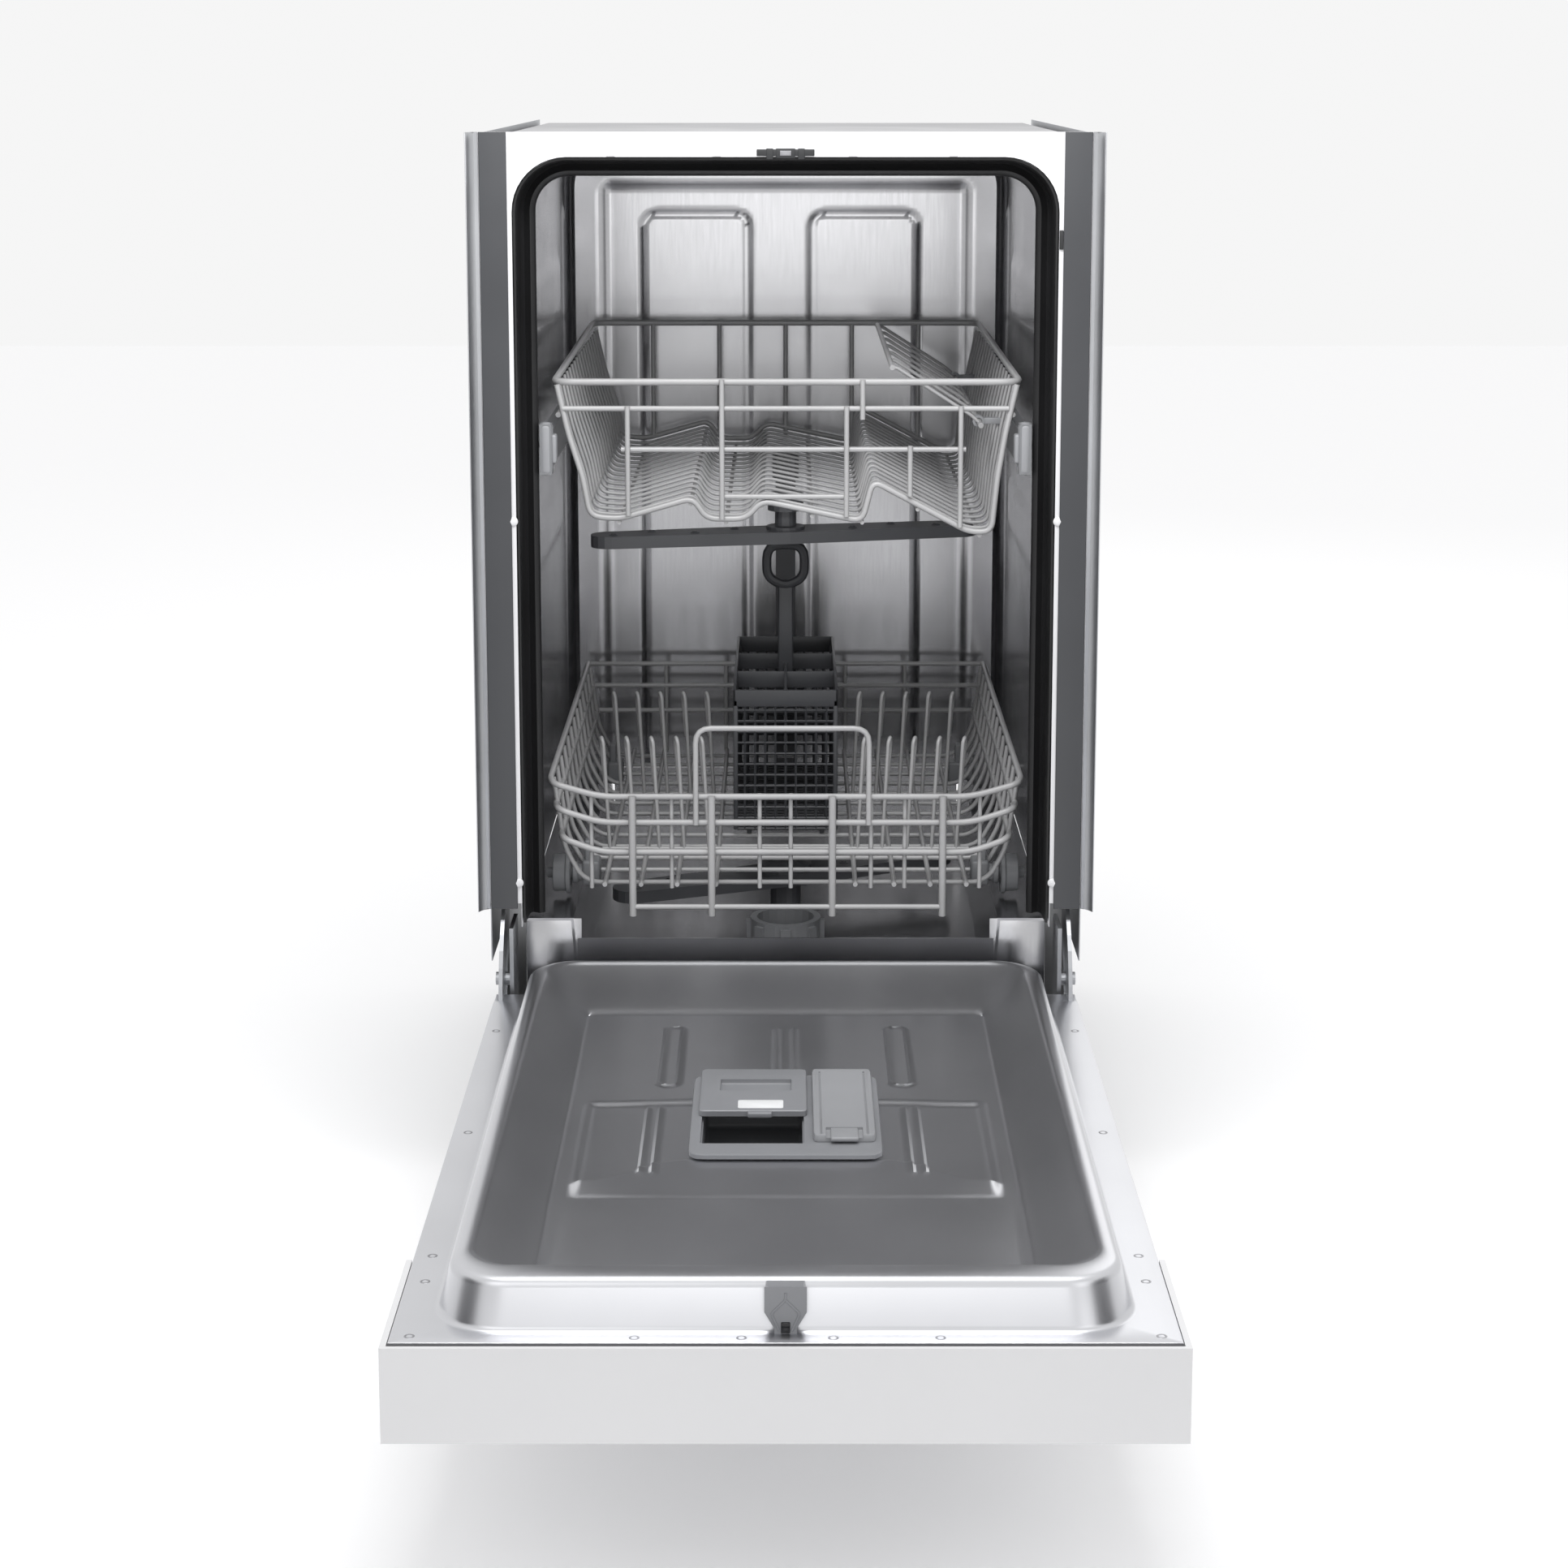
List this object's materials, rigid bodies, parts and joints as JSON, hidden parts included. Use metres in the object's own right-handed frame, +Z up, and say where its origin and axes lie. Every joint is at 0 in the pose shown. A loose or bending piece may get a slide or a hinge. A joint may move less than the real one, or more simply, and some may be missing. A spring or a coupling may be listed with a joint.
{
  "type": "built-in dishwasher",
  "caption": "Slim built-in dishwasher with a drop-down door, steel tub, sliding wire racks, cutlery basket, spray arms, detergent dispenser and side trim strips.",
  "frame": {"origin": "on the floor, under the middle of the machine's whole box with its door open", "axes": "+Z up, +Y from the open door towards the back of the tub, +X to the right as seen from the front"},
  "size_m": [0.465, 1.175, 0.815],
  "materials": {
    "stainless": "polished and brushed stainless steel",
    "white_paint": "smooth satin white paint",
    "white_plastic": "smooth white plastic",
    "dark_trim": "dark grey satin strip with a pale metal lip",
    "rubber": "black rubber",
    "galvanised": "zinc-coated steel sheet",
    "felt": "dense dark felt",
    "black_plastic": "black moulded plastic",
    "grey_plastic": "mid-grey moulded plastic",
    "pale_grey": "pale grey moulded plastic",
    "dark_arm": "dark grey moulded plastic",
    "rack_coat": "grey nylon-coated steel wire",
    "gloss_black": "glossy black plastic"
  },
  "bodies": {
    "cabinet": {"tub_left_wall": "stainless", "tub_right_wall": "stainless", "tub_back_wall": "stainless", "tub_floor": "stainless", "front_frame": "white_paint", "tub_gasket": "rubber", "trim_strip_left": "dark_trim", "trim_strip_right": "dark_trim", "latch_strike": "black_plastic", "side_panel_left": "galvanised", "side_panel_right": "galvanised", "top_mat": "felt", "base_tray": "black_plastic", "kick_plate": "black_plastic", "foot_front_left": "black_plastic", "foot_front_right": "black_plastic", "foot_rear": "black_plastic", "sump": "black_plastic", "wash_pump": "grey_plastic", "drain_pump": "black_plastic", "inlet_valve": "grey_plastic", "air_break_chamber": "pale_grey", "riser_pipe": "dark_arm", "hinge_bracket_left": "galvanised", "hinge_bracket_right": "galvanised"},
    "lower_arm": {"lower_spray_arm": "dark_arm"},
    "filter_cup": {"filter": "grey_plastic"},
    "roller_left": {"rail_roller_left": "pale_grey"},
    "roller_right": {"rail_roller_right": "pale_grey"},
    "door": {"door_inner_panel": "stainless", "door_outer_panel": "white_paint", "door_bottom_seal": "rubber", "console": "white_plastic", "display_window": "gloss_black", "control_box": "black_plastic", "hinge_arm_left": "galvanised", "hinge_arm_right": "galvanised", "dispenser": "grey_plastic", "latch_housing": "grey_plastic"},
    "detergent_slide": {"detergent_lid": "grey_plastic"},
    "rinse_flap": {"rinse_lid": "pale_grey"},
    "power_key": {"power_button": "pale_grey"},
    "program_key": {"program_button": "pale_grey"},
    "start_key": {"start_button": "pale_grey"},
    "upper_rack": {"upper_rack_floor": "rack_coat", "upper_rack_walls": "rack_coat", "rack_rail_left": "grey_plastic", "rack_rail_right": "grey_plastic", "upper_arm_feed": "dark_arm"},
    "upper_arm": {"upper_spray_arm": "dark_arm"},
    "cup_flap": {"cup_shelf": "rack_coat"},
    "lower_rack": {"lower_rack_floor": "rack_coat", "lower_rack_walls": "rack_coat", "tine_row_front": "rack_coat", "tine_row_back": "rack_coat", "cutlery_basket": "dark_arm"},
    "wheel_front_left": {"wheel_front_left": "grey_plastic"},
    "wheel_front_right": {"wheel_front_right": "grey_plastic"},
    "wheel_back_left": {"wheel_back_left": "grey_plastic"},
    "wheel_back_right": {"wheel_back_right": "grey_plastic"}
  },
  "joints": [
    {"name": "door_hinge", "type": "hinge", "parent": "cabinet", "child": "door", "pos_m": [0, 0.0485, 0.175], "axis": [1, 0, 0], "range_deg": [-90, 0]},
    {"name": "upper_rack_slide", "type": "slide", "parent": "cabinet", "child": "upper_rack", "axis": [0, -1, 0], "range_m": [0, 0.35]},
    {"name": "lower_rack_slide", "type": "slide", "parent": "cabinet", "child": "lower_rack", "axis": [0, -1, 0], "range_m": [0, 0.4]},
    {"name": "lower_arm_spin", "type": "hinge", "parent": "cabinet", "child": "lower_arm", "pos_m": [0, 0.3125, 0.178], "axis": [0, 0, 1], "continuous": true},
    {"name": "upper_arm_spin", "type": "hinge", "parent": "upper_rack", "child": "upper_arm", "pos_m": [0, 0.3125, 0.476], "axis": [0, 0, 1], "continuous": true},
    {"name": "filter_twist", "type": "hinge", "parent": "cabinet", "child": "filter_cup", "pos_m": [0, 0.2275, 0.15], "axis": [0, 0, 1], "range_deg": [0, 45]},
    {"name": "detergent_lid_slide", "type": "slide", "parent": "door", "child": "detergent_slide", "axis": [0, -1, 0], "range_m": [0, 0.047]},
    {"name": "rinse_lid_hinge", "type": "hinge", "parent": "door", "child": "rinse_flap", "pos_m": [0.038, -0.184, 0.1815], "axis": [1, 0, 0], "range_deg": [-80, 0]},
    {"name": "cup_shelf_fold", "type": "hinge", "parent": "upper_rack", "child": "cup_flap", "pos_m": [0.15, 0.3225, 0.59], "axis": [0, 1, 0], "range_deg": [0, 58]},
    {"name": "power_press", "type": "slide", "parent": "door", "child": "power_key", "axis": [0, 0, 1], "range_m": [0, 0.002], "stiffness_N_per_m": 300},
    {"name": "program_press", "type": "slide", "parent": "door", "child": "program_key", "axis": [0, 0, 1], "range_m": [0, 0.002], "stiffness_N_per_m": 300},
    {"name": "start_press", "type": "slide", "parent": "door", "child": "start_key", "axis": [0, 0, 1], "range_m": [0, 0.002], "stiffness_N_per_m": 300},
    {"name": "roller_left_spin", "type": "hinge", "parent": "cabinet", "child": "roller_left", "pos_m": [-0.18, 0.1125, 0.579], "axis": [1, 0, 0], "continuous": true},
    {"name": "wheel_front_left_spin", "type": "hinge", "parent": "lower_rack", "child": "wheel_front_left", "pos_m": [-0.176, 0.1325, 0.235], "axis": [1, 0, 0], "continuous": true},
    {"name": "wheel_back_left_spin", "type": "hinge", "parent": "lower_rack", "child": "wheel_back_left", "pos_m": [-0.176, 0.4625, 0.235], "axis": [1, 0, 0], "continuous": true},
    {"name": "roller_right_spin", "type": "hinge", "parent": "cabinet", "child": "roller_right", "pos_m": [0.18, 0.1125, 0.579], "axis": [1, 0, 0], "continuous": true},
    {"name": "wheel_front_right_spin", "type": "hinge", "parent": "lower_rack", "child": "wheel_front_right", "pos_m": [0.176, 0.1325, 0.235], "axis": [1, 0, 0], "continuous": true},
    {"name": "wheel_back_right_spin", "type": "hinge", "parent": "lower_rack", "child": "wheel_back_right", "pos_m": [0.176, 0.4625, 0.235], "axis": [1, 0, 0], "continuous": true}
  ],
  "couplings": [
    {"joint": "roller_left_spin", "follows": "upper_rack_slide", "rad_per_m": 82.645},
    {"joint": "wheel_front_left_spin", "follows": "lower_rack_slide", "rad_per_m": 60.606},
    {"joint": "wheel_back_left_spin", "follows": "lower_rack_slide", "rad_per_m": 60.606},
    {"joint": "roller_right_spin", "follows": "upper_rack_slide", "rad_per_m": 82.645},
    {"joint": "wheel_front_right_spin", "follows": "lower_rack_slide", "rad_per_m": 60.606},
    {"joint": "wheel_back_right_spin", "follows": "lower_rack_slide", "rad_per_m": 60.606}
  ]
}
